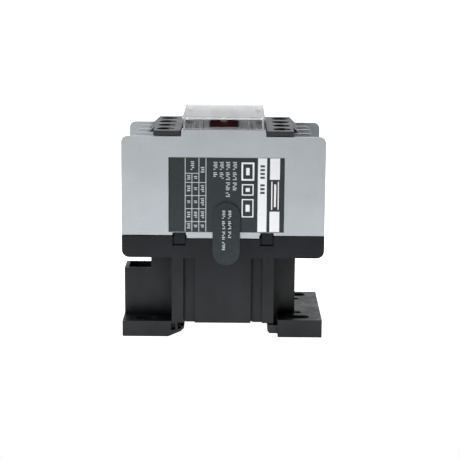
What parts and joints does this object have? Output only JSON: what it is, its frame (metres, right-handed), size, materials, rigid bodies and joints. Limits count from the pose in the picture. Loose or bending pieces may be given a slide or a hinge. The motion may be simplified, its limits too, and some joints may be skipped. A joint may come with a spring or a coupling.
{
  "type": "control relay contactor",
  "caption": "Block-shaped switching relay for a control panel: terminal rows under guards at both ends, sprung contact carrier over a coil, clear dust cover, rail clip and mounting feet.",
  "frame": {"origin": "middle of the footprint, on the mounting plane under the feet", "axes": "+Z away from the panel, +X from the line end to the load end, +Y across the poles to the side without the rating plate"},
  "size_m": [0.0744, 0.0452, 0.0819],
  "materials": {
    "black_plastic": "moulded, fine satin grain",
    "grey_plastic": "moulded, fine satin grain",
    "clear_plastic": "clear, polished",
    "red_plastic": "moulded, satin",
    "bobbin_plastic": "moulded, satin",
    "clip_plastic": "moulded, satin",
    "contact_brass": "stamped",
    "zinc_steel": "zinc plated",
    "spring_steel": "drawn wire",
    "core_steel": "stacked laminations, ground faces",
    "copper": "copper, lacquered on the winding",
    "rubber": "moulded",
    "plate_print": "printed film",
    "seal_film": "metallised film"
  },
  "bodies": {
    "housing": {"base_housing": "black_plastic", "upper_housing": "grey_plastic", "line_guard": "black_plastic", "load_guard": "black_plastic", "rating_plate": "plate_print", "seal_label": "seal_film", "fixed_core": "core_steel", "line_shading_ring": "copper", "load_shading_ring": "copper", "coil_bobbin": "bobbin_plastic", "coil_winding": "copper", "coil_strip_a1": "contact_brass", "coil_strip_a2": "contact_brass", "return_spring": "spring_steel", "core_cushion": "rubber", "din_clip_spring": "spring_steel", "line_contact_1": "contact_brass", "load_contact_1": "contact_brass", "line_contact_2": "contact_brass", "load_contact_2": "contact_brass", "line_contact_3": "contact_brass", "load_contact_3": "contact_brass", "line_contact_4": "contact_brass", "load_contact_4": "contact_brass"},
    "lid": {"dust_cover": "clear_plastic"},
    "carrier": {"contact_carrier": "red_plastic", "armature": "core_steel", "armature_pin": "zinc_steel", "contact_spring_1": "spring_steel", "contact_spring_2": "spring_steel", "contact_spring_3": "spring_steel", "contact_spring_4": "spring_steel"},
    "bridge_1": {"bridge_contact_1": "contact_brass"},
    "bridge_2": {"bridge_contact_2": "contact_brass"},
    "bridge_3": {"bridge_contact_3": "contact_brass"},
    "bridge_4": {"bridge_contact_4": "contact_brass"},
    "rail_clip": {"din_clip": "clip_plastic"},
    "line_terminal_1": {"line_screw_1": "zinc_steel", "line_washer_1": "zinc_steel"},
    "line_terminal_2": {"line_screw_2": "zinc_steel", "line_washer_2": "zinc_steel"},
    "line_terminal_3": {"line_screw_3": "zinc_steel", "line_washer_3": "zinc_steel"},
    "line_terminal_4": {"line_screw_4": "zinc_steel", "line_washer_4": "zinc_steel"},
    "load_terminal_1": {"load_screw_1": "zinc_steel", "load_washer_1": "zinc_steel"},
    "load_terminal_2": {"load_screw_2": "zinc_steel", "load_washer_2": "zinc_steel"},
    "load_terminal_3": {"load_screw_3": "zinc_steel", "load_washer_3": "zinc_steel"},
    "load_terminal_4": {"load_screw_4": "zinc_steel", "load_washer_4": "zinc_steel"},
    "coil_terminal_a1": {"coil_screw_a1": "zinc_steel", "coil_washer_a1": "zinc_steel"},
    "coil_terminal_a2": {"coil_screw_a2": "zinc_steel", "coil_washer_a2": "zinc_steel"}
  },
  "joints": [
    {"name": "carrier_stroke", "type": "slide", "parent": "housing", "child": "carrier", "axis": [0, 0, -1], "range_m": [0, 0.0044], "stiffness_N_per_m": 400, "springref_m": -0.006, "deforming": ["return_spring"]},
    {"name": "bridge_1_travel", "type": "slide", "parent": "carrier", "child": "bridge_1", "axis": [0, 0, 1], "range_m": [0, 0.0015], "deforming": ["contact_spring_1"]},
    {"name": "bridge_2_travel", "type": "slide", "parent": "carrier", "child": "bridge_2", "axis": [0, 0, 1], "range_m": [0, 0.0015], "deforming": ["contact_spring_2"]},
    {"name": "bridge_3_travel", "type": "slide", "parent": "carrier", "child": "bridge_3", "axis": [0, 0, 1], "range_m": [0, 0.0015], "deforming": ["contact_spring_3"]},
    {"name": "bridge_4_travel", "type": "slide", "parent": "carrier", "child": "bridge_4", "axis": [0, 0, 1], "range_m": [0, 0.0015], "deforming": ["contact_spring_4"]},
    {"name": "lid_lift", "type": "slide", "parent": "housing", "child": "lid", "axis": [0, 0, 1], "range_m": [0, 0.012]},
    {"name": "rail_clip_pull", "type": "slide", "parent": "housing", "child": "rail_clip", "axis": [1, 0, 0], "range_m": [0, 0.0024], "stiffness_N_per_m": 600, "springref_m": -0.004, "deforming": ["din_clip_spring"]},
    {"name": "line_terminal_1_lift", "type": "slide", "parent": "housing", "child": "line_terminal_1", "axis": [0, 0, 1], "range_m": [0, 0.0032]},
    {"name": "line_terminal_2_lift", "type": "slide", "parent": "housing", "child": "line_terminal_2", "axis": [0, 0, 1], "range_m": [0, 0.0032]},
    {"name": "line_terminal_3_lift", "type": "slide", "parent": "housing", "child": "line_terminal_3", "axis": [0, 0, 1], "range_m": [0, 0.0032]},
    {"name": "line_terminal_4_lift", "type": "slide", "parent": "housing", "child": "line_terminal_4", "axis": [0, 0, 1], "range_m": [0, 0.0032]},
    {"name": "load_terminal_1_lift", "type": "slide", "parent": "housing", "child": "load_terminal_1", "axis": [0, 0, 1], "range_m": [0, 0.0032]},
    {"name": "load_terminal_2_lift", "type": "slide", "parent": "housing", "child": "load_terminal_2", "axis": [0, 0, 1], "range_m": [0, 0.0032]},
    {"name": "load_terminal_3_lift", "type": "slide", "parent": "housing", "child": "load_terminal_3", "axis": [0, 0, 1], "range_m": [0, 0.0032]},
    {"name": "load_terminal_4_lift", "type": "slide", "parent": "housing", "child": "load_terminal_4", "axis": [0, 0, 1], "range_m": [0, 0.0032]},
    {"name": "coil_terminal_a1_lift", "type": "slide", "parent": "housing", "child": "coil_terminal_a1", "axis": [0, 0, 1], "range_m": [0, 0.0032]},
    {"name": "coil_terminal_a2_lift", "type": "slide", "parent": "housing", "child": "coil_terminal_a2", "axis": [0, 0, 1], "range_m": [0, 0.0032]}
  ],
  "couplings": [
    {"joint": "bridge_1_travel", "follows": "carrier_stroke", "ratio": 0.34},
    {"joint": "bridge_2_travel", "follows": "carrier_stroke", "ratio": 0.34},
    {"joint": "bridge_3_travel", "follows": "carrier_stroke", "ratio": 0.34},
    {"joint": "bridge_4_travel", "follows": "carrier_stroke", "ratio": 0.34}
  ]
}
